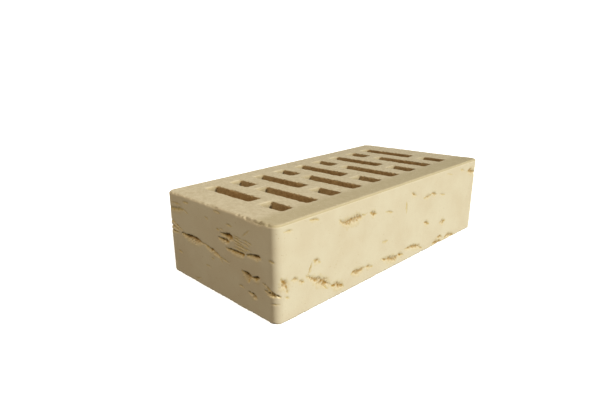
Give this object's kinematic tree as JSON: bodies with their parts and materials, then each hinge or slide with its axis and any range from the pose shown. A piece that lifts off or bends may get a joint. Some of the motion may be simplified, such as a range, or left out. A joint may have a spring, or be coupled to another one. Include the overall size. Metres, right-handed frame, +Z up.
{
  "type": "textured clay brick",
  "caption": "Pale straw clay facing brick with rounded upright corners, staggered slots from bed to bed and torn, scratched outer faces, laid in mortar in a wall.",
  "frame": {"origin": "centre of the lower bed, on the surface the brick lies on", "axes": "+X along the length, +Y across the width, +Z up through the slots from bed to bed"},
  "size_m": [0.25, 0.12, 0.065],
  "materials": {
    "clay": "matte fired clay, pale straw, with torn scratches that show warmer ochre clay"
  },
  "bodies": {
    "root": {"brick": "clay"}
  },
  "joints": []
}
